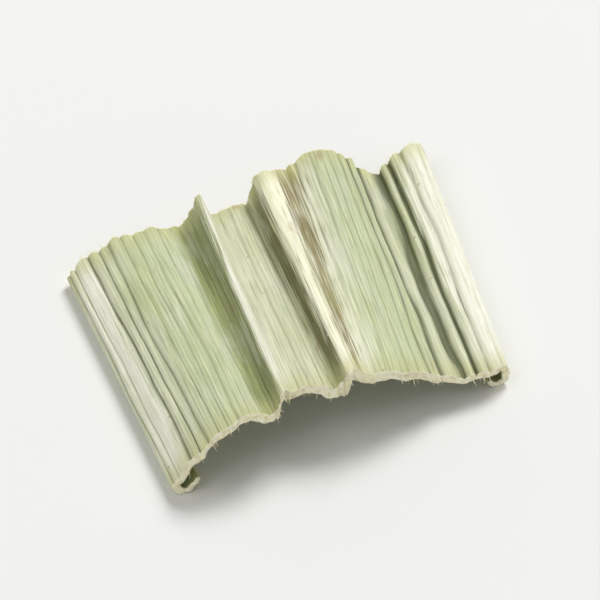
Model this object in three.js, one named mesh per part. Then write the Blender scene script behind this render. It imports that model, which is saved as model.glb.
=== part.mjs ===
import * as THREE from "three";

// One cut piece of dried lemongrass leaf sheath, in millimetres, +Z up. Its fibres run along Y, its
// near cut end faces -Y, and it lies like a low pleated arch on its two curled margins at Z = 0.
// Across the fibres, from the left margin: two ribs, a rounded panel, a valley, a flat panel, a
// groove, the raised midrib, a broad rounded panel, a bundle of narrow pleats and the right margin.

// Cut ends
const cutLength = 7.3; // along a fibre, from cut to cut
const cutSkew = 0.5; // how much further back the right margin's ends lie than the left margin's
const nearNotchDepth = 0.3; // the near cut steps back at the valley and the flat panel
const nearNotchCentre = 0.42; // as a share of the way across
const nearNotchHalfWidth = 0.16;
const farNotchDepth = 0.35; // the far cut dips in where the pleats start
const farNotchCentre = 0.85;
const farNotchHalfWidth = 0.07;
const cutRaggedness = 0.035;

// Tissue
const sheetThickness = 0.6; // nowhere thinner
const ribCount = 42; // veins that stand out as ribs, evenly spaced across the sheet
const ribRoundness = 0.6; // under 1 gives round ribs with narrow grooves between them
const tissueColor = 0xc3cda6;
const tissueRoughness = 0.8;

// Folds across the sheet. Each is [across, height] of the outer face at the far and the near cut
// end, and the depth of the grooves between the ribs there.
const folds = [
  { name: "left margin's foot", far: [0.0, 0.12], near: [0.0, 0.12], groove: 0.02 },
  { name: "left margin's shoulder", far: [0.2, 0.62], near: [0.2, 0.74], groove: 0.12 },
  { name: "outer ribs", far: [0.7, 0.9], near: [0.6, 1.34], groove: 0.12 },
  { name: "rounded panel, left flank", far: [1.45, 1.13], near: [1.25, 1.84], groove: 0.05 },
  { name: "rounded panel, crest", far: [2.1, 1.12], near: [1.85, 2.04], groove: 0.05 },
  { name: "rounded panel, right flank", far: [2.62, 0.98], near: [2.25, 2.04], groove: 0.05 },
  { name: "valley", far: [3.02, 0.84], near: [2.58, 1.86], groove: 0.05 },
  { name: "valley's far bank", far: [3.42, 1.78], near: [2.92, 2.32], groove: 0.03 },
  { name: "flat panel, left", far: [3.75, 0.94], near: [3.24, 2.02], groove: 0.05 },
  { name: "flat panel, right", far: [4.45, 0.96], near: [3.98, 1.98], groove: 0.05 },
  { name: "groove", far: [4.68, 0.86], near: [4.24, 1.8], groove: 0.03 },
  { name: "midrib", far: [4.9, 1.76], near: [4.56, 2.3], groove: 0.0 },
  { name: "midrib's right foot", far: [5.7, 1.68], near: [5.1, 2.1], groove: 0.03 },
  { name: "broad panel, crest", far: [6.5, 1.96], near: [5.85, 1.88], groove: 0.05 },
  { name: "broad panel, right flank", far: [7.25, 1.4], near: [6.65, 1.42], groove: 0.05 },
  { name: "first pleat", far: [7.65, 0.92], near: [7.2, 1.0], groove: 0.16 },
  { name: "last pleat", far: [8.35, 1.0], near: [7.95, 0.84], groove: 0.16 },
  { name: "right margin's shoulder", far: [9.02, 1.0], near: [8.5, 0.76], groove: 0.1 },
  { name: "right margin's foot", far: [9.3, 0.12], near: [8.7, 0.12], groove: 0.02 },
];

// Mesh
const columnsPerRib = 4;
const columns = ribCount * columnsPerRib;
const rows = 8;

const outline = (pointOf) => new THREE.SplineCurve(folds.map((fold) => new THREE.Vector2(...pointOf(fold))));
const farOutline = outline((fold) => fold.far);
const nearOutline = outline((fold) => fold.near);
const middleOutline = outline((fold) => [
  (fold.far[0] + fold.near[0]) / 2,
  (fold.far[1] + fold.near[1]) / 2,
]);

// Depth of the grooves between ribs at a place along the outline's own parameter.
function grooveDepth(t) {
  const place = t * (folds.length - 1);
  const index = Math.min(Math.floor(place), folds.length - 2);
  return THREE.MathUtils.lerp(folds[index].groove, folds[index + 1].groove, place - index);
}

// 1 at the centre of a notch in a cut end, falling smoothly to 0 at its half width.
function notch(share, centre, halfWidth) {
  return 1 - THREE.MathUtils.smoothstep(Math.abs(share - centre), 0, halfWidth);
}

// How unevenly the knife and the fibres left the cut at this share of the way across.
function raggedness(share, phase) {
  const slow = Math.sin(2 * Math.PI * (5.3 * share + phase));
  const quick = Math.sin(2 * Math.PI * (13.7 * share + 2 * phase));
  return cutRaggedness * (slow + quick);
}

// Where a fibre ends at the near and the far cut.
function fibreEnds(share) {
  const skew = cutSkew * (share - 0.5);
  const nearStep = nearNotchDepth * notch(share, nearNotchCentre, nearNotchHalfWidth);
  const farStep = farNotchDepth * notch(share, farNotchCentre, farNotchHalfWidth);
  return {
    near: -cutLength / 2 + skew + nearStep + raggedness(share, 0.1),
    far: cutLength / 2 + skew - farStep + raggedness(share, 0.6),
  };
}

// The outer face of one fibre: its groove or rib, at each row from the near cut to the far cut.
function fibre(column) {
  const share = column / columns;
  const t = middleOutline.getUtoTmapping(share);
  const far = farOutline.getPoint(t);
  const near = nearOutline.getPoint(t);
  const ends = fibreEnds(share);
  const rib = Math.pow(Math.abs(Math.sin((Math.PI * column) / columnsPerRib)), ribRoundness);
  const groove = grooveDepth(t) * (1 - rib);
  const points = [];
  for (let row = 0; row <= rows; row++) {
    const along = row / rows;
    const section = near.clone().lerp(far, along);
    const y = THREE.MathUtils.lerp(ends.near, ends.far, along);
    points.push(new THREE.Vector3(section.x, y, section.y - groove));
  }
  return points;
}

// The inner face follows the outer one like a ball rolled under it, so that the sheet keeps its
// thickness at every slope. Where it would pass below the ground it is the flat land of a margin.
function innerHeight(fibres, column, row) {
  const here = fibres[column][row];
  let height = Infinity;
  for (const other of fibres) {
    const reach = other[row].x - here.x;
    if (Math.abs(reach) < sheetThickness) {
      height = Math.min(height, other[row].z - Math.sqrt(sheetThickness ** 2 - reach ** 2));
    }
  }
  return Math.max(height, 0);
}

// Both faces are split into triangles alike, so that they stay clear of each other in every fold.
function sheetGeometry() {
  const fibres = Array.from({ length: columns + 1 }, (_, column) => fibre(column));
  const positions = [];
  for (const points of fibres) {
    for (const point of points) {
      positions.push(point.x, point.y, point.z);
    }
  }
  fibres.forEach((points, column) => {
    points.forEach((point, row) => {
      positions.push(point.x, point.y, innerHeight(fibres, column, row));
    });
  });
  const outer = (column, row) => column * (rows + 1) + row;
  const inner = (column, row) => outer(column, row) + (columns + 1) * (rows + 1);
  const triangles = [];
  const quad = (a, b, c, d) => triangles.push(a, b, c, a, c, d);
  for (let column = 0; column < columns; column++) {
    const next = column + 1;
    for (let row = 0; row < rows; row++) {
      const above = row + 1;
      quad(outer(column, row), outer(next, row), outer(next, above), outer(column, above));
      triangles.push(inner(column, row), inner(next, above), inner(next, row));
      triangles.push(inner(column, row), inner(column, above), inner(next, above));
    }
    quad(inner(column, 0), inner(next, 0), outer(next, 0), outer(column, 0));
    quad(outer(column, rows), outer(next, rows), inner(next, rows), inner(column, rows));
  }
  for (let row = 0; row < rows; row++) {
    const above = row + 1;
    quad(inner(0, row), outer(0, row), outer(0, above), inner(0, above));
    quad(outer(columns, row), inner(columns, row), inner(columns, above), outer(columns, above));
  }
  const geometry = new THREE.BufferGeometry();
  geometry.setAttribute("position", new THREE.Float32BufferAttribute(positions, 3));
  geometry.setIndex(triangles);
  return geometry;
}

// The origin is under the middle of the piece, on the ground.
function centreOnGround(geometry) {
  geometry.computeBoundingBox();
  const centre = geometry.boundingBox.getCenter(new THREE.Vector3());
  geometry.translate(-centre.x, -centre.y, 0);
  geometry.computeVertexNormals();
  return geometry;
}

function leafSheath() {
  const tissue = new THREE.MeshStandardMaterial({
    color: tissueColor,
    roughness: tissueRoughness,
    metalness: 0,
  });
  const mesh = new THREE.Mesh(centreOnGround(sheetGeometry()), tissue);
  mesh.name = "leaf_sheath";
  return mesh;
}

const lemongrassPiece = new THREE.Group();
lemongrassPiece.add(leafSheath());

export default lemongrassPiece;
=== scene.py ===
import math
from collections import namedtuple

import bpy
import numpy as np
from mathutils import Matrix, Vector


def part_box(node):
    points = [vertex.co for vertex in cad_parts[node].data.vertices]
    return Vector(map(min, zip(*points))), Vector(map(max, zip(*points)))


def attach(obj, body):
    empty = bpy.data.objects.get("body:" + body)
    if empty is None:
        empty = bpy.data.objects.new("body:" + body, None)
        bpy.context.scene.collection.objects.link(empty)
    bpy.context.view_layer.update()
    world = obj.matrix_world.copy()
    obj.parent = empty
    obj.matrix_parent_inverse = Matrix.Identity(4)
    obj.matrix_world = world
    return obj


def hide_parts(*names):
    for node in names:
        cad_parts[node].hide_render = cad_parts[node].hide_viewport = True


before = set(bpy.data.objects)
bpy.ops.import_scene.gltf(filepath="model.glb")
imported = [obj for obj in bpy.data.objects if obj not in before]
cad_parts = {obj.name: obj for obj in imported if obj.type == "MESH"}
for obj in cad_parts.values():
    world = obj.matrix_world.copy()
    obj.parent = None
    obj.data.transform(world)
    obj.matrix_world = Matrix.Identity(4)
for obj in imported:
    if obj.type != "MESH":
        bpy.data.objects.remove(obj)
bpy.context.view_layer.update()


# Leaf tissue: one cut bit of dried lemongrass leaf sheath, 0.2 mm thick near its margins and 0.36 mm
# at its cream midrib. It shrank across its fibres as it dried, so it lies in pleats along them and
# its margins curled under. It is one closed skin between two outlines, ribbed by a geometry tree.
def paint(red, green, blue):
    """A colour as a paint chart gives it, 0 to 255, turned into linear light for a shader."""
    shares = [value / 255 for value in (red, green, blue)]
    linear = [s / 12.92 if s <= 0.04045 else ((s + 0.055) / 1.055) ** 2.4 for s in shares]
    return (*linear, 1.0)


MM = 0.001
CUT_LENGTH = 7.15 * MM  # along a fibre
CUT_SKEW = 0.5 * MM  # how much further back the right margin's ends lie than the left margin's
NEAR_NOTCH = (0.3 * MM, 0.42, 0.16)  # depth, then centre and half width in shares of the way across
FAR_NOTCH = (0.35 * MM, 0.85, 0.07)
CUT_RAGGEDNESS = 0.035 * MM
FIBRE_STRAY = 0.025 * MM  # how unevenly the ribs end at a cut
PITH_RECESS = 0.025 * MM  # how far the tissue between two ribs shrank back from the cut
BUNDLE_REACH = 0.015 * MM  # how far a rib's fibres stand out in the middle of its cut face
CUT_GRAIN = 0.01 * MM  # how rough a cut face is
LIP_DROP = 0.08 * MM  # how far the cut ends turned down as they dried
LIP_LENGTH = 0.22 * MM
SWAY = 0.04 * MM  # how far the panels rise and sink along the fibres
BANK_SAG = 0.24 * MM  # how far the bank beside the valley sinks between its two ends
BANK_HALF_WIDTH = 0.45  # in folds
CURL_TO_PANEL = 1.0 * MM  # past a shoulder, where the curled margin has become flat sheet
FLAT_THICKNESS = 0.3 * MM  # that a cut face takes up where the tissue's pattern is laid out flat

RIB_COUNT = 42  # from the left margin's foot to the right margin's, counted as if all were even
RIB_SPACING = 0.2875 * MM  # of even ribs
RIBS_BEFORE_SHOULDER = 2.08  # even ribs from the left margin's foot to its shoulder
RIB_DRIFT = (  # (even rib, how many ribs the real one is ahead): ribs are wide where this falls
    (1.9, 1.1), (3.7, 0.35), (4.6, 0.4), (12, 0), (30.5, 0),
    (33.5, -0.5), (35.35, -1.37), (36.67, -1.64), (38.1, -2.2), (40, -2.4),
)
RIB_WAVES = ((0.07, 0.61, 0), (0.09, 0.37, 2))  # (ribs ahead, waves per rib, phase), besides the drift

COLUMNS_PER_RIB = 14
ROWS = 60
ROW_CROWDING = 0.75  # how much closer the rows lie at the cuts than in the middle
LAYERS = 4  # through the thickness, seen at the cut faces
OUTLINE_SAMPLES = 6000  # for measuring the tissue's width along the outlines

Fold = namedtuple("Fold", "far near grooves thickness")
folds = [  # in mm: (across, height) at the far and the near cut, (far, near) grooves, thickness
    Fold((0.56, 0.3), (0.72, 0.44), (0.01, 0.01), 0.08),  # left curl's tip
    Fold((0.5, 0.12), (0.62, 0.2), (0.01, 0.01), 0.14),
    Fold((0.3, 0.0), (0.36, 0.0), (0.02, 0.02), 0.17),  # left curl on the ground
    Fold((0.08, 0.1), (0.09, 0.12), (0.02, 0.02), 0.18),
    Fold((0.0, 0.34), (0.0, 0.4), (0.04, 0.04), 0.19),
    Fold((0.2, 0.62), (0.2, 0.74), (0.09, 0.06), 0.2),  # left margin's shoulder
    Fold((0.7, 0.9), (0.6, 1.34), (0.07, 0.07), 0.21),  # outer ribs
    Fold((1.45, 1.13), (1.25, 1.84), (0.022, 0.03), 0.23),  # rounded panel, left flank
    Fold((2.1, 1.12), (1.85, 2.04), (0.02, 0.025), 0.23),  # rounded panel, crest
    Fold((2.62, 0.98), (2.25, 2.04), (0.02, 0.02), 0.23),  # rounded panel, right flank
    Fold((3.02, 0.84), (2.58, 1.86), (0.03, 0.03), 0.23),  # valley
    Fold((3.42, 1.78), (2.92, 2.32), (0.02, 0.02), 0.24),  # valley's far bank
    Fold((3.75, 0.94), (3.24, 2.02), (0.02, 0.02), 0.24),  # flat panel, left
    Fold((4.45, 0.96), (3.98, 1.98), (0.025, 0.025), 0.26),  # flat panel, right
    Fold((4.68, 0.86), (4.24, 1.8), (0.02, 0.02), 0.3),  # groove
    Fold((4.9, 1.76), (4.56, 2.3), (0.0, 0.0), 0.36),  # midrib
    Fold((5.7, 1.68), (5.1, 2.1), (0.03, 0.02), 0.3),  # midrib's right foot
    Fold((6.5, 1.96), (5.85, 1.88), (0.02, 0.02), 0.25),  # broad panel, crest
    Fold((7.25, 1.4), (6.65, 1.42), (0.08, 0.05), 0.23),  # broad panel, right flank
    Fold((7.65, 0.92), (7.2, 1.0), (0.17, 0.1), 0.22),  # first pleat
    Fold((8.35, 1.0), (7.95, 0.84), (0.19, 0.17), 0.21),  # last pleat
    Fold((9.02, 1.0), (8.5, 0.76), (0.05, 0.05), 0.2),  # right margin's shoulder
    Fold((9.25, 0.76), (8.68, 0.56), (0.02, 0.02), 0.19),
    Fold((9.3, 0.44), (8.7, 0.32), (0.03, 0.03), 0.18),
    Fold((9.22, 0.12), (8.63, 0.1), (0.02, 0.02), 0.17),
    Fold((9.0, 0.0), (8.42, 0.0), (0.01, 0.01), 0.16),  # right curl on the ground
    Fold((8.8, 0.1), (8.22, 0.1), (0.01, 0.01), 0.13),
    Fold((8.72, 0.28), (8.12, 0.28), (0.01, 0.01), 0.08),  # right curl's tip
]
LEFT_SHOULDER, VALLEY, GROOVE, MIDRIB, PLEATS, RIGHT_SHOULDER = 5, 10, 14, 15, 19, 21
MIDRIB_TAPER = 0.5  # how far, in folds, the colours right of the midrib close in at the near cut
TAPER_CENTRE, TAPER_HALF_WIDTH = MIDRIB + 0.85, 0.6  # in folds
TINT_FRAY = 0.16  # how far, in folds, a tint runs into its neighbour along single fibres
FRAY_STEPS = 9  # from cut to cut

# wax_and_painted_highlight is near-white: wax on the skin, and painted highlight where the margins and
# the bank catch the light.
sage, pale, wax_and_painted_highlight = paint(206, 214, 174), paint(224, 226, 196), paint(252, 251, 234)
straw, cream, tan = paint(232, 230, 190), paint(255, 252, 224), paint(148, 130, 90)
# valley_painted_shade is a darker green painted where shade falls in the valley; shade is painted
# shade for the midrib's left flank.
valley_painted_shade, shade, milky = paint(150, 157, 108), paint(106, 102, 62), paint(238, 239, 212)
tints = [  # the tissue's colour at places counted in folds, with painted shade and painted highlight among the tints
    (0, straw),
    (2, sage),
    (LEFT_SHOULDER - 1, pale),
    # Left margin's shoulder: whitened as wax and as painted highlight.
    (LEFT_SHOULDER + 0.1, wax_and_painted_highlight),
    (LEFT_SHOULDER + 0.5, wax_and_painted_highlight),
    (LEFT_SHOULDER + 0.65, pale),
    (LEFT_SHOULDER + 1, pale),
    (VALLEY - 3, sage),
    (VALLEY - 1, sage),
    # The valley: darker green painted as the shade that lies in it.
    (VALLEY - 0.6, valley_painted_shade),
    (VALLEY + 0.7, valley_painted_shade),
    # Crest of the valley's far bank: a thin painted highlight in the same near-white.
    (VALLEY + 0.95, wax_and_painted_highlight),
    (VALLEY + 2, pale),
    (GROOVE + 0.05, pale),
    # Midrib's left flank beside the groove: painted shade, dark olive-brown.
    (GROOVE + 0.3, shade),
    (MIDRIB - 0.32, shade),
    (MIDRIB - 0.02, cream),
    (MIDRIB + 0.55, cream),
    (MIDRIB + 0.85, tan),
    (MIDRIB + 1.05, tan),
    (MIDRIB + 1.25, milky),
    (MIDRIB + 1.4, milky),
    (MIDRIB + 1.8, sage),
    (PLEATS - 1, sage),
    (PLEATS - 0.2, pale),
    (RIGHT_SHOULDER - 0.95, pale),
    # Right margin: whitened as wax and as painted highlight.
    (RIGHT_SHOULDER - 0.75, wax_and_painted_highlight),
    (RIGHT_SHOULDER + 1, wax_and_painted_highlight),
    (RIGHT_SHOULDER + 3, pale),
    (RIGHT_SHOULDER + 5, sage),
    (len(folds) - 1, straw),
]


def along_outline(points, place):
    """A smooth curve through the points, at places counted in points from the first."""
    points = np.asarray(points, float)
    last = len(points) - 1
    start = np.minimum(place.astype(int), last - 1)
    t = (place - start)[:, None]
    before, here = points[np.maximum(start - 1, 0)], points[start]
    after, beyond = points[start + 1], points[np.minimum(start + 2, last)]
    leave, arrive = (after - before) / 2, (beyond - here) / 2
    cubic = (2 * here - 2 * after + leave + arrive) * t**3
    square = (-3 * here + 3 * after - 2 * leave - arrive) * t**2
    return cubic + square + leave * t + here


def smooth_step(value, low, high):
    t = np.clip((value - low) / (high - low), 0, 1)
    return t * t * (3 - 2 * t)


def even_places():
    """Places on the outlines at equal steps of tissue, with their even ribs and their steps."""
    dense = np.linspace(0, len(folds) - 1, OUTLINE_SAMPLES)
    middle = along_outline([np.add(f.far, f.near) / 2 for f in folds], dense) * MM
    tissue = np.concatenate([[0], np.cumsum(np.linalg.norm(np.diff(middle, axis=0), axis=1))])
    shoulder = np.interp(LEFT_SHOULDER, dense, tissue)
    rib_at_start = RIBS_BEFORE_SHOULDER - shoulder / RIB_SPACING
    rib_at_end = rib_at_start + tissue[-1] / RIB_SPACING
    first, last = math.ceil(rib_at_start * COLUMNS_PER_RIB), math.floor(rib_at_end * COLUMNS_PER_RIB)
    ribs = np.arange(first, last + 1) / COLUMNS_PER_RIB
    steps = (ribs - rib_at_start) * RIB_SPACING
    return np.interp(steps, tissue, dense), ribs, steps


def uneven(ribs):
    """The real rib numbers at these even ones, which make some ribs narrow and others wide."""
    real = ribs + np.interp(ribs, *zip(*RIB_DRIFT))
    for ahead, per_rib, phase in RIB_WAVES:
        real = real + ahead * np.sin(2 * np.pi * per_rib * ribs + phase)
    return real


def notch(share, depth, centre, half_width):
    """How far a cut steps back: most at the notch's centre, and not at all past its half width."""
    return depth * (1 - smooth_step(np.abs(share - centre), 0, half_width))


def raggedness(share, phase):
    """How unevenly the knife and the fibres left a cut at this share of the way across."""
    slow = np.sin(2 * np.pi * (5.3 * share + phase))
    quick = np.sin(2 * np.pi * (13.7 * share + 2 * phase))
    return CUT_RAGGEDNESS * (slow + quick)


def fibre_ends(ribs, draw):
    """Where each fibre ends at the near and the far cut: the ribs stand out of the torn tissue."""
    share = np.clip(ribs / RIB_COUNT, 0, 1)
    skew = CUT_SKEW * (share - 0.5)
    crest = np.abs(np.sin(np.pi * uneven(ribs)))
    rib_number = np.floor(uneven(ribs)).astype(int)
    rib_number -= rib_number.min()
    ends = []
    for way, phase, (depth, centre, half_width) in ((-1, 0.1, NEAR_NOTCH), (1, 0.6, FAR_NOTCH)):
        stray = draw.normal(0, FIBRE_STRAY, rib_number.max() + 1)[rib_number] * crest
        torn = PITH_RECESS * (1 - crest) + draw.uniform(0, PITH_RECESS / 3, len(ribs))
        reach = CUT_LENGTH / 2 - notch(share, depth, centre, half_width) + stray - torn
        ends.append(way * reach + skew + raggedness(share, phase))
    return ends


def inner_face(x, z, normals, thickness, panel):
    """The inner face: straight through the sheet where it curls, under a rolled ball in the panels."""
    rolled = np.empty_like(z)
    for row in range(len(z)):
        reach = x[row][:, None] - x[row][None, :]
        room = thickness[None, :] ** 2 - reach**2
        under = z[row][None, :] - np.sqrt(np.clip(room, 0, None))
        under[(room < 0) | (panel[None, :] <= 0)] = np.inf
        rolled[row] = under.min(axis=1)
    rolled[~np.isfinite(rolled)] = 0
    through_x = x - thickness * normals[0]
    through_z = z - thickness * normals[1]
    return through_x + (x - through_x) * panel, through_z + (rolled - through_z) * panel


def smooth_normals(x, z, half_width=COLUMNS_PER_RIB // 2):
    """Outward normals of each row's section, from tangents evened over a few columns."""
    window = np.hanning(2 * half_width + 3)[1:-1]
    window /= window.sum()
    past_ends = ((0, 0), (half_width, half_width))

    def evened(values):
        padded = np.pad(values, past_ends, mode="reflect", reflect_type="odd")
        return np.apply_along_axis(lambda row: np.convolve(row, window, mode="valid"), 1, padded)

    dx, dz = np.gradient(evened(x), axis=1), np.gradient(evened(z), axis=1)
    length = np.hypot(dx, dz)
    return -dz / length, dx / length


def closed_skin(shape):
    """Which points of a block of layers, rows and columns lie on its skin, and the skin's quads."""
    skin = np.zeros(shape, bool)
    skin[[0, -1]] = skin[:, [0, -1]] = skin[:, :, [0, -1]] = True
    number = np.full(shape, -1)
    number[skin] = np.arange(skin.sum())
    outer_and_inner = (number[0], number[-1][:, ::-1])
    cuts = (number[::-1, 0], number[:, -1])
    margins = (number[:, :, 0], number[::-1, :, -1])
    quads = []
    for ids in outer_and_inner + cuts + margins:
        corners = (ids[:-1, :-1], ids[:-1, 1:], ids[1:, 1:], ids[1:, :-1])
        quads.append(np.stack(corners, axis=-1).reshape(-1, 4))
    return skin, np.concatenate(quads)


def frayed_tints(place, along, draw):
    """The tissue's colour, painted shade and highlight included, in each row and column: the tints run
    into each other along fibres.
    """
    hold = np.clip(1 - np.abs(along * FRAY_STEPS - np.arange(FRAY_STEPS + 1)), 0, 1)
    fray = TINT_FRAY * hold @ draw.normal(0, 1, (FRAY_STEPS + 1, len(place)))
    beside_midrib = np.exp(-(((place - TAPER_CENTRE) / TAPER_HALF_WIDTH) ** 2))
    frayed = place + MIDRIB_TAPER * (1 - along) * beside_midrib + fray
    stops = [stop for stop, tint in tints]
    channels = np.array([tint for stop, tint in tints]).T
    return np.stack([np.interp(frayed, stops, channel) for channel in channels], axis=-1)


def carry(mesh, name, kind, field, values):
    """Keeps one value for each point of the mesh, for the tree and the material to read."""
    numbers = values.astype(np.float32).ravel()
    mesh.attributes.new(name, kind, "POINT").data.foreach_set(field, numbers)


def sheath_mesh():
    """The smooth folded sheet as a closed skin, with what the tree and the material need to know."""
    draw = np.random.default_rng(7)
    place, ribs, steps = even_places()
    share = ribs / RIB_COUNT

    def at_places(fold_values):
        return np.interp(place, np.arange(len(folds)), fold_values)

    far = along_outline([f.far for f in folds], place) * MM
    near = along_outline([f.near for f in folds], place) * MM
    thickness = at_places([f.thickness for f in folds]) * MM
    far_groove, near_groove = (at_places(depths) for depths in zip(*(f.grooves for f in folds)))
    past_left = steps - np.interp(LEFT_SHOULDER, place, steps)
    past_right = np.interp(RIGHT_SHOULDER, place, steps) - steps
    panel = smooth_step(np.minimum(past_left, past_right), 0, CURL_TO_PANEL)

    # The outer face, row by row from the near cut to the far one, and the inner face under it.
    even = np.linspace(0, 1, ROWS + 1)
    along = (even - ROW_CROWDING * np.sin(2 * np.pi * even) / (2 * np.pi))[:, None]
    x = near[:, 0] + (far[:, 0] - near[:, 0]) * along
    z = near[:, 1] + (far[:, 1] - near[:, 1]) * along
    near_end, far_end = fibre_ends(ribs, draw)
    y = near_end + (far_end - near_end) * along
    sway = np.sin(2 * np.pi * (1.1 * along + 2.3 * share)) * np.sin(np.pi * (along + 0.2))
    to_cut = np.minimum(along, 1 - along) * CUT_LENGTH
    lip = np.exp(-to_cut / LIP_LENGTH) * (0.6 + 0.4 * np.sin(2 * np.pi * 3.1 * share + 1))
    bank = np.exp(-(((place - VALLEY - 1) / BANK_HALF_WIDTH) ** 2)) * np.sin(np.pi * along) ** 0.6
    z = z + (SWAY * sway - LIP_DROP * lip) * panel - BANK_SAG * bank
    normals = smooth_normals(x, z)
    inner_x, inner_z = inner_face(x, z, normals, thickness, panel)

    # Layers between the two faces, of which only the cut faces are seen.
    shape = (LAYERS + 1, ROWS + 1, len(ribs))
    depth = (np.arange(LAYERS + 1) / LAYERS)[:, None, None]
    places = np.empty(shape + (3,))
    places[..., 0] = x + (inner_x - x) * depth
    places[..., 1] = y
    places[..., 2] = z + (inner_z - z) * depth
    bundle = BUNDLE_REACH * np.sin(np.pi * uneven(ribs)) ** 2
    grain = draw.uniform(-CUT_GRAIN, CUT_GRAIN, (2, LAYERS - 1, len(ribs)))
    places[1:-1, 0, :, 1] -= bundle + grain[0]
    places[1:-1, -1, :, 1] += bundle + grain[1]
    skin, quads = closed_skin(shape)
    mesh = bpy.data.meshes.new("leaf_sheath_tissue")
    mesh.from_pydata(places[skin].tolist(), [], quads.tolist())

    def on_skin(values, size=()):
        return np.broadcast_to(values, shape + size)[skin]

    on_cut = np.zeros(shape)
    on_cut[:, [0, -1]] = 1
    facts = {
        "rib_place": uneven(ribs),
        "groove_depth": (near_groove + (far_groove - near_groove) * along) * MM,
        "depth": depth,
        "along": along,
        "cut": on_cut,
        "panel": panel,
    }
    for name, values in facts.items():
        carry(mesh, name, "FLOAT", "value", on_skin(values))
    outward = np.stack([normals[0], np.zeros_like(x), normals[1]], axis=-1)
    carry(mesh, "outward", "FLOAT_VECTOR", "vector", on_skin(outward, (3,)))
    tint = frayed_tints(place, along, draw)
    carry(mesh, "tint", "FLOAT_COLOR", "color", on_skin(tint, (4,)))

    # The tissue laid out flat, in millimetres across and along its fibres.
    corner = np.empty(len(mesh.loops), int)
    mesh.loops.foreach_get("vertex_index", corner)
    laid_out = [on_skin(steps), on_skin(along * CUT_LENGTH + depth * FLAT_THICKNESS)]
    flat = (np.stack(laid_out, axis=-1) / MM)[corner].astype(np.float32)
    mesh.uv_layers.new(name="fibres").data.foreach_set("uv", flat.ravel())
    return mesh


def wire(tree, kind, inputs=(), output=0, **settings):
    """Adds a node, sets or links its inputs by name or by number, and returns one of its outputs."""
    node = tree.nodes.new(kind)
    for name, value in settings.items():
        setattr(node, name, value)
    shown = [socket for socket in node.inputs if socket.enabled]
    for key, value in dict(inputs).items():
        socket = shown[key] if isinstance(key, int) else node.inputs[key]
        if isinstance(value, bpy.types.NodeSocket):
            tree.links.new(value, socket)
        else:
            socket.default_value = value
    if isinstance(output, str):
        return node.outputs[output]
    return [socket for socket in node.outputs if socket.enabled][output]


def maths(tree, operation, *values):
    return wire(tree, "ShaderNodeMath", dict(enumerate(values)), operation=operation)


def product(tree, *values):
    result = values[0]
    for value in values[1:]:
        result = maths(tree, "MULTIPLY", result, value)
    return result


def named(tree, name, kind="FLOAT"):
    return wire(tree, "GeometryNodeInputNamedAttribute", {"Name": name}, data_type=kind)


def stored(tree, geometry, name, value):
    inputs = {"Geometry": geometry, "Name": name, "Value": value}
    return wire(tree, "GeometryNodeStoreNamedAttribute", inputs, data_type="FLOAT", domain="POINT")


def geometry_tree(name, sizes):
    """An empty tree with a named input for each size, and the outputs of its input node."""
    tree = bpy.data.node_groups.new(name, "GeometryNodeTree")
    tree.interface.new_socket("Geometry", in_out="INPUT", socket_type="NodeSocketGeometry")
    tree.interface.new_socket("Geometry", in_out="OUTPUT", socket_type="NodeSocketGeometry")
    for label in sizes:
        tree.interface.new_socket(label, in_out="INPUT", socket_type="NodeSocketFloat")
    return tree, tree.nodes.new("NodeGroupInput").outputs


def end_tree(tree, geometry, material):
    """Makes the tree's instances real, gives them their material and ends the tree."""
    real = wire(tree, "GeometryNodeRealizeInstances", {"Geometry": geometry})
    covered = wire(tree, "GeometryNodeSetMaterial", {"Geometry": real, "Material": material})
    end = tree.nodes.new("NodeGroupOutput")
    tree.links.new(covered, end.inputs["Geometry"])


def grow(piece, tree, sizes):
    """Runs the tree on the piece with these sizes and keeps the result as its plain mesh."""
    modifier = piece.modifiers.new(tree.name, "NODES")
    modifier.node_group = tree
    for item in tree.interface.items_tree:
        if item.in_out == "INPUT" and item.name in sizes:
            modifier[item.identifier] = sizes[item.name]
    seen = bpy.context.evaluated_depsgraph_get()
    result = piece.evaluated_get(seen)
    mesh = bpy.data.meshes.new_from_object(result, preserve_all_data_layers=True, depsgraph=seen)
    piece.modifiers.remove(modifier)
    piece.data = mesh


def patches(tree, rib, along, per_rib, per_length):
    """Noise with so many patches to a rib across, and to the whole length along."""
    flat = {"X": product(tree, rib, per_rib), "Y": product(tree, along, per_length)}
    inputs = {"Vector": wire(tree, "ShaderNodeCombineXYZ", flat), "Scale": 1.0, "Detail": 2.0}
    return wire(tree, "ShaderNodeTexNoise", inputs, noise_dimensions="2D")


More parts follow.
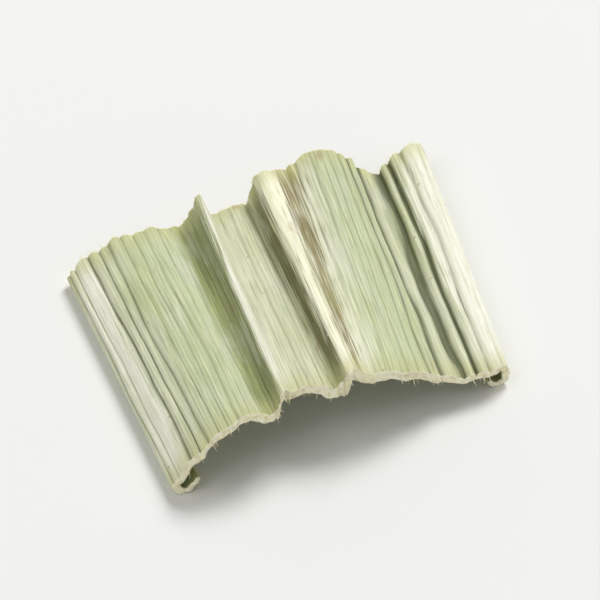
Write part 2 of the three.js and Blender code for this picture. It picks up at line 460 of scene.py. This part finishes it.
def rib_tree(sizes, material):
    """Raises the ribs: sinks grooves and fine furrows between veins, and crumples the sheet."""
    tree, given = geometry_tree("rib the sheath", sizes)
    along, depth = named(tree, "along"), named(tree, "depth")
    place = named(tree, "rib_place")
    wander = patches(tree, place, along, per_rib=0.4, per_length=2.2)
    wander = product(tree, maths(tree, "SUBTRACT", wander, 0.5), given["Rib wander"])
    place = maths(tree, "ADD", place, wander)

    def ridges(per_rib, roundness):
        wave = maths(tree, "SINE", product(tree, place, math.pi * per_rib))
        return maths(tree, "POWER", maths(tree, "ABSOLUTE", wave), roundness)

    groove = named(tree, "groove_depth")
    narrowed = product(tree, groove, given["Narrowing per metre of groove"])
    narrowed = maths(tree, "ADD", narrowed, given["Rib roundness"])
    crest = ridges(per_rib=1.0, roundness=narrowed)
    veinlet = ridges(per_rib=3.0, roundness=0.7)
    groove_number = maths(tree, "FLOOR", maths(tree, "ADD", place, 0.5))
    fading = patches(tree, groove_number, along, per_rib=7.3, per_length=2.5)
    gain = maths(tree, "MULTIPLY_ADD", fading, given["Groove variety"], 1.0)
    gain = maths(tree, "SUBTRACT", gain, product(tree, given["Groove variety"], 0.5))
    sunk = product(tree, maths(tree, "SUBTRACT", 1.0, crest), groove, gain)
    shallower_inside = maths(tree, "MULTIPLY_ADD", depth, -0.6, 1.0)
    sunk = product(tree, sunk, shallower_inside)
    fine = product(tree, maths(tree, "SUBTRACT", 1.0, veinlet), given["Veinlet depth"])
    fine = product(tree, fine, maths(tree, "SUBTRACT", 1.0, depth))
    under_rib = product(tree, crest, depth, given["Inner rib height"])

    where = wire(tree, "GeometryNodeInputPosition")

    def crumple(size, stretch, height):
        inputs = {0: where, 1: (1.0, 1 / stretch, 1.0)}
        drawn_out = wire(tree, "ShaderNodeVectorMath", inputs, operation="MULTIPLY")
        inputs = {"Vector": drawn_out, "Scale": 1 / size, "Detail": 2.0}
        noise = wire(tree, "ShaderNodeTexNoise", inputs)
        return product(tree, maths(tree, "SUBTRACT", noise, 0.5), height, named(tree, "panel"))

    broad = crumple(size=1.2 * MM, stretch=3.0, height=given["Crumple height"])
    small = crumple(size=0.3 * MM, stretch=2.0, height=given["Pucker height"])
    lift = maths(tree, "ADD", broad, small)
    for lowering in (sunk, fine, under_rib):
        lift = maths(tree, "SUBTRACT", lift, lowering)
    outward = {0: named(tree, "outward", "FLOAT_VECTOR"), "Scale": lift}
    shift = wire(tree, "ShaderNodeVectorMath", outward, operation="SCALE")
    shaped = wire(tree, "GeometryNodeSetPosition", {"Geometry": given["Geometry"], "Offset": shift})
    shaped = stored(tree, shaped, "rib_crest", crest)
    shaped = stored(tree, shaped, "veinlet", veinlet)
    end_tree(tree, shaped, material)
    return tree


def mixed(tree, amount, a, b, blend="MIX"):
    return wire(tree, "ShaderNodeMix", {0: amount, 1: a, 2: b}, data_type="RGBA", blend_type=blend)


def fact(tree, name, output="Fac"):
    """What the mesh carries at each point under this name."""
    return wire(tree, "ShaderNodeAttribute", output=output, attribute_name=name)


def streaks(tree, across, along, detail=3.0):
    """Noise drawn out along the fibres, with so many patches to a millimetre each way."""
    flat = wire(tree, "ShaderNodeUVMap", uv_map="fibres")
    stretch = {0: flat, 1: (across, along, 1.0)}
    stretched = wire(tree, "ShaderNodeVectorMath", stretch, operation="MULTIPLY")
    inputs = {"Vector": stretched, "Scale": 1.0, "Detail": detail}
    return wire(tree, "ShaderNodeTexNoise", inputs)


def flecks(tree, per_millimetre, radius, share=0.25):
    """Small round spots of up to this radius in millimetres, in this share of a grid's cells."""
    flat = wire(tree, "ShaderNodeUVMap", uv_map="fibres")
    cell = {"Vector": flat, "Scale": per_millimetre, "Randomness": 1.0}
    distance = wire(tree, "ShaderNodeTexVoronoi", cell, "Distance", voronoi_dimensions="2D")
    cell_color = wire(tree, "ShaderNodeTexVoronoi", cell, "Color", voronoi_dimensions="2D")
    chance = wire(tree, "ShaderNodeSeparateColor", {"Color": cell_color}, "Red")
    over = maths(tree, "SUBTRACT", chance, 1 - share)
    return maths(tree, "LESS_THAN", distance, product(tree, over, radius * per_millimetre / share))


def ramp(tree, value, low, high):
    inputs = {"Value": value, "From Min": low, "From Max": high}
    return wire(tree, "ShaderNodeMapRange", inputs, interpolation_type="SMOOTHSTEP")


def streaked(tree, across, along, low, high, most, detail=3.0):
    """How much of a colour lies at each point: from none to the most, between two streak levels."""
    return product(tree, ramp(tree, streaks(tree, across, along, detail), low, high), most)


def bumped(tree, height, strength, distance, normal=None):
    inputs = {"Height": height, "Strength": strength, "Distance": distance}
    if normal:
        inputs["Normal"] = normal
    return wire(tree, "ShaderNodeBump", inputs)


# Painted shade at the bottoms of the grooves: how dark per metre of depth, and at most.
GROOVE_PAINTED_SHADE = 16 / MM  # per metre of a groove's depth, at its bottom
DARKEST_GROOVE_SHADE = 0.86


def skin_color(tree):
    """The skin's tints streaked along the fibres, with painted shade darkening the grooves, the fine
    furrows and the inner face.
    """
    crest, veinlet = fact(tree, "rib_crest"), fact(tree, "veinlet")
    depth, along = fact(tree, "depth"), fact(tree, "along")

    # Bare is 1 for skin with no whitening and falls to 0.25 where the tint is whitest, from wax and
    # from painted highlight.
    color = fact(tree, "tint", "Color")
    blue = wire(tree, "ShaderNodeSeparateColor", {"Color": color}, "Blue")
    bare = maths(tree, "MULTIPLY_ADD", ramp(tree, blue, 0.5, 0.75), -0.75, 1.0)
    olive = streaked(tree, across=0.8, along=0.3, low=0.45, high=0.7, most=0.35, detail=2.0)
    color = mixed(tree, product(tree, olive, bare), color, paint(186, 192, 128))
    bloom = streaked(tree, across=2.2, along=0.6, low=0.48, high=0.72, most=0.4, detail=4.0)
    color = mixed(tree, bloom, color, paint(222, 224, 208))
    dull = streaked(tree, across=9.0, along=0.8, low=0.5, high=0.75, most=0.45)
    color = mixed(tree, product(tree, dull, bare), color, paint(160, 168, 132))
    to_cut = maths(tree, "MINIMUM", along, maths(tree, "SUBTRACT", 1.0, along))
    yellowed = product(tree, maths(tree, "SUBTRACT", 1.0, ramp(tree, to_cut, 0.0, 0.11)), 0.6)
    color = mixed(tree, yellowed, color, paint(206, 204, 146))

    # Painted shade: the bottoms of the grooves are painted dark olive, deeper grooves darker, less on
    # whitened tints.
    low_down = maths(tree, "SUBTRACT", 1.0, crest)
    groove = product(tree, low_down, low_down, fact(tree, "groove_depth"), GROOVE_PAINTED_SHADE, bare)
    groove = maths(tree, "MINIMUM", groove, DARKEST_GROOVE_SHADE)
    color = mixed(tree, groove, color, paint(72, 80, 40))
    # Painted shade: the fine furrows between veinlets are painted a little darker.
    furrow_shade = product(tree, maths(tree, "SUBTRACT", 1.0, veinlet), 0.3, bare)
    color = mixed(tree, furrow_shade, color, paint(134, 144, 104))
    # Painted shade: the inner face under the sheet is painted a darker olive.
    underside_painted_shade = product(tree, ramp(tree, depth, 0.3, 0.9), 0.8)
    color = mixed(tree, underside_painted_shade, color, paint(150, 156, 106))

    dark_thread = streaked(tree, across=15.0, along=0.7, low=0.48, high=0.66, most=0.4)
    color = mixed(tree, dark_thread, color, paint(206, 212, 176), "MULTIPLY")
    pale_thread = streaked(tree, across=11.0, along=0.8, low=0.54, high=0.72, most=0.35, detail=2.0)
    color = mixed(tree, pale_thread, color, paint(236, 238, 214), "OVERLAY")
    stain = streaked(tree, across=1.8, along=0.9, low=0.64, high=0.78, most=0.45, detail=5.0)
    color = mixed(tree, stain, color, paint(164, 128, 88))
    brown_flecks = product(tree, flecks(tree, per_millimetre=1.6, radius=0.04), 0.4)
    return mixed(tree, brown_flecks, color, paint(150, 118, 78))


def cut_color(tree):
    """The cream pith of a cut face, browned in places, with the ends of the ribs' fibres in it."""
    mottled = ramp(tree, streaks(tree, across=2.6, along=6.0), 0.3, 0.7)
    pith = mixed(tree, mottled, paint(252, 244, 206), paint(255, 252, 228))
    fibre_ends_show = ramp(tree, streaks(tree, across=1.7, along=9.0), 0.4, 0.6)
    bundle = product(tree, ramp(tree, fact(tree, "rib_crest"), 0.75, 1.0), fibre_ends_show)
    pith = mixed(tree, product(tree, bundle, 0.35), pith, paint(190, 184, 128))
    browned = streaked(tree, across=0.9, along=3.0, low=0.56, high=0.72, most=0.35, detail=2.0)
    return mixed(tree, browned, pith, paint(164, 138, 92))


def tissue_material():
    """Dry leaf skin with a wax gloss, fine fibres, faint veins across them and a grain of cells."""
    material = bpy.data.materials.new("dried sheath tissue")
    material.use_nodes = True
    tree = material.node_tree
    tree.nodes.clear()
    fibres = streaks(tree, across=18.0, along=0.7, detail=4.0)
    normal = bumped(tree, fibres, strength=0.85, distance=0.03 * MM)
    cross_veins = streaks(tree, across=3.5, along=11.0)
    normal = bumped(tree, cross_veins, strength=0.4, distance=0.02 * MM, normal=normal)
    object_place = wire(tree, "ShaderNodeTexCoord", output="Object")
    cell_size = 0.06 * MM
    cells = wire(tree, "ShaderNodeTexNoise", {"Vector": object_place, "Scale": 1 / cell_size})
    normal = bumped(tree, cells, strength=0.35, distance=0.01 * MM, normal=normal)
    uneven_gloss = streaks(tree, across=4.0, along=1.0)
    surface = {
        "Base Color": mixed(tree, fact(tree, "cut"), skin_color(tree), cut_color(tree)),
        "Roughness": maths(tree, "MULTIPLY_ADD", uneven_gloss, 0.3, 0.42),
        "Normal": normal,
        "Specular IOR Level": 0.4,
        "Subsurface Weight": 0.1,
        "Subsurface Radius": (1.0, 1.0, 0.4),
        "Subsurface Scale": 0.2 * MM,
    }
    end = tree.nodes.new("ShaderNodeOutputMaterial")
    tree.links.new(wire(tree, "ShaderNodeBsdfPrincipled", surface), end.inputs["Surface"])
    return material


def settle_in(mesh, low, high):
    """Centres the mesh on the given box and gives it the box's height over the ground."""
    corners = np.empty(len(mesh.vertices) * 3)
    mesh.vertices.foreach_get("co", corners)
    corners = corners.reshape(-1, 3)
    middle = (corners.min(axis=0) + corners.max(axis=0)) / 2
    corners[:, 0] += (low.x + high.x) / 2 - middle[0]
    corners[:, 1] += (low.y + high.y) / 2 - middle[1]
    corners[:, 2] = np.maximum(corners[:, 2], low.z)
    corners[:, 2] *= high.z / corners[:, 2].max()
    mesh.vertices.foreach_set("co", corners.ravel())
    mesh.update()


def new_piece(name, mesh):
    piece = bpy.data.objects.new(name, mesh)
    bpy.context.scene.collection.objects.link(piece)
    return piece


leaf = new_piece("leaf_sheath_tissue", sheath_mesh())
rib_sizes = {
    "Rib roundness": 0.5,
    "Narrowing per metre of groove": 1.6 / MM,
    "Rib wander": 0.5,
    "Groove variety": 0.8,
    "Veinlet depth": 0.013 * MM,
    "Inner rib height": 0.02 * MM,
    "Crumple height": 0.1 * MM,
    "Pucker height": 0.03 * MM,
}
grow(leaf, rib_tree(rib_sizes, tissue_material()), rib_sizes)
settle_in(leaf.data, *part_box("leaf_sheath"))
leaf.data.shade_smooth()
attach(leaf, "root")
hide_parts("leaf_sheath")


# Torn fibres: where the knife tore the tissue, single dry fibres stand out of the cut faces, up to
# 0.24 mm long and at most as thick as a wool hair. A geometry tree sets them on the cut faces.
def dry_fibre_material(name, color):
    material = bpy.data.materials.new(name)
    material.use_nodes = True
    tree = material.node_tree
    shader = tree.nodes["Principled BSDF"]
    shader.inputs["Base Color"].default_value = color
    shader.inputs["Roughness"].default_value = 0.65
    shader.inputs["Specular IOR Level"].default_value = 0.35
    return material


def drawn(tree, low, high, seed):
    """A random number for each point between two limits."""
    return wire(tree, "FunctionNodeRandomValue", {0: low, 1: high, "Seed": seed}, data_type="FLOAT")


def above(tree, height):
    """1 for what is higher up than this, 0 for the rest."""
    position = wire(tree, "GeometryNodeInputPosition")
    z = wire(tree, "ShaderNodeSeparateXYZ", {0: position}, "Z")
    return maths(tree, "GREATER_THAN", z, height)


def torn_fibre_tree(sizes, material):
    """Small bent fibres on the cut faces, pointing away from the piece."""
    tree, given = geometry_tree("torn fibres", sizes)
    depth = named(tree, "depth")
    under_skin = maths(tree, "GREATER_THAN", depth, 0.1)
    over_inner_skin = maths(tree, "LESS_THAN", depth, 0.9)
    cut_face = maths(tree, "GREATER_THAN", named(tree, "cut"), 0.5)
    clear = above(tree, given["Clear of the ground"])
    pith = product(tree, under_skin, over_inner_skin, cut_face, clear)
    lucky = maths(tree, "LESS_THAN", drawn(tree, 0.0, 1.0, seed=3), given["Share of fibres"])
    chosen = maths(tree, "GREATER_THAN", product(tree, pith, lucky), 0.5)
    on_points = {"Mesh": given["Geometry"], "Selection": chosen}
    points = wire(tree, "GeometryNodeMeshToPoints", on_points)

    # One fibre of length 1, rooted a little below its point, bent to one side and tapering.
    handles = {
        "Resolution": 5,
        "Start": (0, 0, -0.1),
        "Start Handle": (0, 0, 0.35),
        "End Handle": (0.03, 0, 0.7),
        "End": (0.14, 0, 1.0),
    }
    line = wire(tree, "GeometryNodeCurvePrimitiveBezierSegment", handles, mode="POSITION")
    along = wire(tree, "GeometryNodeSplineParameter", output="Factor")
    taper = maths(tree, "MULTIPLY_ADD", along, -0.8, 1.0)
    line = wire(tree, "GeometryNodeSetCurveRadius", {"Curve": line, "Radius": taper})
    round_section = {"Resolution": 5, "Radius": 0.055}
    ring = wire(tree, "GeometryNodeCurvePrimitiveCircle", round_section, mode="RADIUS")
    tube = {"Curve": line, "Profile Curve": ring, "Scale": taper, "Fill Caps": True}
    fibre = wire(tree, "GeometryNodeCurveToMesh", tube)

    # Away from the piece at either cut: along is 0 on the near one and 1 on the far one.
    way = maths(tree, "MULTIPLY_ADD", named(tree, "along"), 2.0, -1.0)
    sideways, upwards = drawn(tree, -0.5, 0.5, seed=5), drawn(tree, -0.45, 0.25, seed=6)
    lean = wire(tree, "ShaderNodeCombineXYZ", {"X": sideways, "Y": way, "Z": upwards})
    angle = drawn(tree, 0.0, 6.28, seed=7)  # radians, once round
    roll = wire(tree, "FunctionNodeAxisAngleToRotation", {"Angle": angle})
    aim = {"Vector": lean, "Rotation": roll}
    turn = wire(tree, "FunctionNodeAlignRotationToVector", aim, axis="Z")
    spread = drawn(tree, 0.35, 1.0, seed=8)
    size = product(tree, spread, spread, given["Fibre length"])
    placed = {"Points": points, "Instance": fibre, "Rotation": turn, "Scale": size}
    end_tree(tree, wire(tree, "GeometryNodeInstanceOnPoints", placed), material)
    return tree


torn_fibres = new_piece("torn_fibres", leaf.data.copy())
fibre_sizes = {
    "Share of fibres": 0.08,
    "Fibre length": 0.24 * MM,
    "Clear of the ground": 0.2 * MM,
}
dry_fibre = dry_fibre_material("dry fibre", paint(236, 228, 184))
grow(torn_fibres, torn_fibre_tree(fibre_sizes, dry_fibre), fibre_sizes)
torn_fibres.data.shade_smooth()
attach(torn_fibres, "root")


# Prickle hairs: short stiff hairs that make a lemongrass leaf rough to the touch when it is
# stroked backwards. They sit on the ribs, mostly on those of both margins, and lean up the leaf.
SHARE_IN_PANELS = 0.03  # of the density that the hairs have on the margins


def prickle_tree(sizes, material):
    """Small cones spread over the bare crests, each leaning towards the far end of the piece."""
    tree, given = geometry_tree("prickle hairs", sizes)
    on_top = maths(tree, "LESS_THAN", named(tree, "depth"), 0.01)
    on_crest = maths(tree, "GREATER_THAN", named(tree, "rib_crest"), 0.9)
    bare = product(tree, on_top, on_crest, above(tree, given["Clear of the ground"]))
    bare = maths(tree, "GREATER_THAN", bare, 0.5)
    marginal = maths(tree, "SUBTRACT", 1.0, named(tree, "panel"))
    share = maths(tree, "MULTIPLY_ADD", marginal, 1 - SHARE_IN_PANELS, SHARE_IN_PANELS)
    density = product(tree, given["Hairs per square metre"], share)
    over = {"Mesh": given["Geometry"], "Selection": bare, "Density": density, "Seed": 11}
    points = wire(tree, "GeometryNodeDistributePointsOnFaces", over, output="Points")
    cone = {"Vertices": 5, "Radius Top": 0.0, "Radius Bottom": 0.16, "Depth": 1.0}
    hair = wire(tree, "GeometryNodeMeshCone", cone, output="Mesh")
    sideways, upwards = drawn(tree, -0.4, 0.4, seed=12), drawn(tree, 0.5, 1.1, seed=13)
    lean = wire(tree, "ShaderNodeCombineXYZ", {"X": sideways, "Y": 1.0, "Z": upwards})
    turn = wire(tree, "FunctionNodeAlignRotationToVector", {"Vector": lean}, axis="Z")
    size = product(tree, drawn(tree, 0.5, 1.0, seed=14), given["Hair length"])
    placed = {"Points": points, "Instance": hair, "Rotation": turn, "Scale": size}
    end_tree(tree, wire(tree, "GeometryNodeInstanceOnPoints", placed), material)
    return tree


hairs = new_piece("prickle_hairs", leaf.data.copy())
hair_sizes = {
    "Hairs per square metre": 3.0e7,
    "Hair length": 0.06 * MM,
    "Clear of the ground": 0.03 * MM,
}
glassy = dry_fibre_material("prickle hair", paint(236, 236, 214))
grow(hairs, prickle_tree(hair_sizes, glassy), hair_sizes)
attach(hairs, "root")


# Floor, light and camera: a plain pale surface in a pale room, a broad soft light from behind on
# the right, a weak one from the left, and the camera at the photograph's angle to this piece.
def pale_floor():
    half = 2.0  # metres, far wider than the view
    mesh = bpy.data.meshes.new("floor")
    corners = [(-half, -half, 0), (half, -half, 0), (half, half, 0), (-half, half, 0)]
    mesh.from_pydata(corners, [], [(0, 1, 2, 3)])
    material = bpy.data.materials.new("pale floor")
    material.use_nodes = True
    shader = material.node_tree.nodes["Principled BSDF"]
    shader.inputs["Base Color"].default_value = paint(240, 240, 237)
    shader.inputs["Roughness"].default_value = 0.75
    mesh.materials.append(material)
    return new_piece("floor", mesh)


def toward(azimuth, elevation):
    """From the piece towards a viewer or a light at these angles, in degrees."""
    a, e = math.radians(azimuth), math.radians(elevation)
    return Vector((math.sin(a) * math.cos(e), -math.cos(a) * math.cos(e), math.sin(e)))


def soft_light(name, azimuth, elevation, distance, size, power):
    """A square lamp that faces the piece, with its distance and size in metres, power in watts."""
    lamp = bpy.data.lights.new(name, "AREA")
    lamp.shape = "SQUARE"
    lamp.size = size
    lamp.energy = power
    light = bpy.data.objects.new(name, lamp)
    bpy.context.scene.collection.objects.link(light)
    outward = toward(azimuth, elevation)
    light.location = outward * distance
    light.rotation_euler = (-outward).to_track_quat("-Z", "Y").to_euler()


def pale_room():
    """Bright round the horizon and dimmer overhead, so that folds still show."""
    world = bpy.data.worlds.new("studio")
    world.use_nodes = True
    tree = world.node_tree
    way = wire(tree, "ShaderNodeTexCoord", output="Generated")
    height = wire(tree, "ShaderNodeSeparateXYZ", {"Vector": way}, output="Z")
    inputs = {"Value": height, "From Min": 0.05, "From Max": 0.5, "To Min": 0.88, "To Max": 0.27}
    background = tree.nodes["Background"]
    background.inputs["Color"].default_value = (1, 1, 1, 1)
    tree.links.new(wire(tree, "ShaderNodeMapRange", inputs), background.inputs["Strength"])
    return world


CAMERA_AZIMUTH, CAMERA_ELEVATION = -21, 49
VIEW_WIDTH = 14.2 * MM  # across the picture at the piece
LENS, SENSOR = 1000, 36  # in millimetres: so long a lens shows as little depth as the photograph
pale_floor()
soft_light("window", azimuth=128, elevation=56, distance=0.5, size=0.2, power=1.7)
soft_light("fill", azimuth=-80, elevation=55, distance=0.5, size=0.3, power=0.5)
bpy.context.scene.world = pale_room()
bpy.context.scene.view_settings.view_transform = "Standard"

camera_data = bpy.data.cameras.new("camera")
camera_data.lens = LENS
camera_data.sensor_width = SENSOR
camera_data.clip_start = 10 * MM
camera_data.clip_end = 10
camera = bpy.data.objects.new("camera", camera_data)
bpy.context.scene.collection.objects.link(camera)
low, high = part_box("leaf_sheath")
to_camera = toward(CAMERA_AZIMUTH, CAMERA_ELEVATION)
camera.location = (low + high) / 2 + to_camera * (VIEW_WIDTH * LENS / SENSOR)
camera.rotation_euler = (-to_camera).to_track_quat("-Z", "Y").to_euler()
bpy.context.scene.camera = camera
